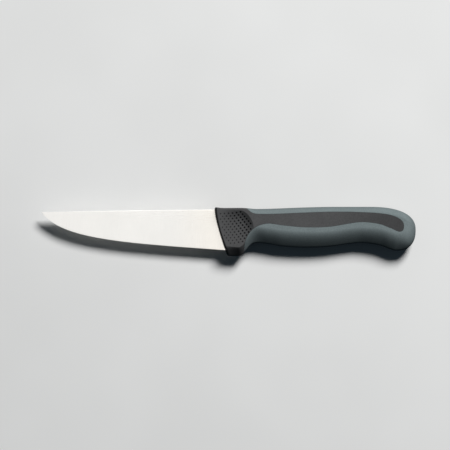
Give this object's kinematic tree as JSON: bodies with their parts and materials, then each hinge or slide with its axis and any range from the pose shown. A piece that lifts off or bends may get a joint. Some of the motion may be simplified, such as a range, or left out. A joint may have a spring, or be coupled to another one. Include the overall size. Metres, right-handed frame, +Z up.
{
  "type": "meat knife",
  "caption": "Meat knife with a pointed ground blade on a hidden tang, a dark moulded core with collar, thumb dishes and side panels, and a soft grey grip with finger hollows.",
  "frame": {"origin": "middle of the knife's length and height, on the surface that it lies on", "axes": "+X from the blade's tip to the butt of the handle, +Y from the cutting edge to the spine, +Z up, across the thickness of the lying knife"},
  "size_m": [0.2642, 0.0346, 0.021],
  "materials": {
    "steel": "fine ground stainless steel",
    "hard_plastic": "dark grey, fine moulded grain",
    "soft_plastic": "grey, soft matte"
  },
  "bodies": {
    "root": {"blade": "steel", "handle_core": "hard_plastic", "soft_grip": "soft_plastic"}
  },
  "joints": []
}
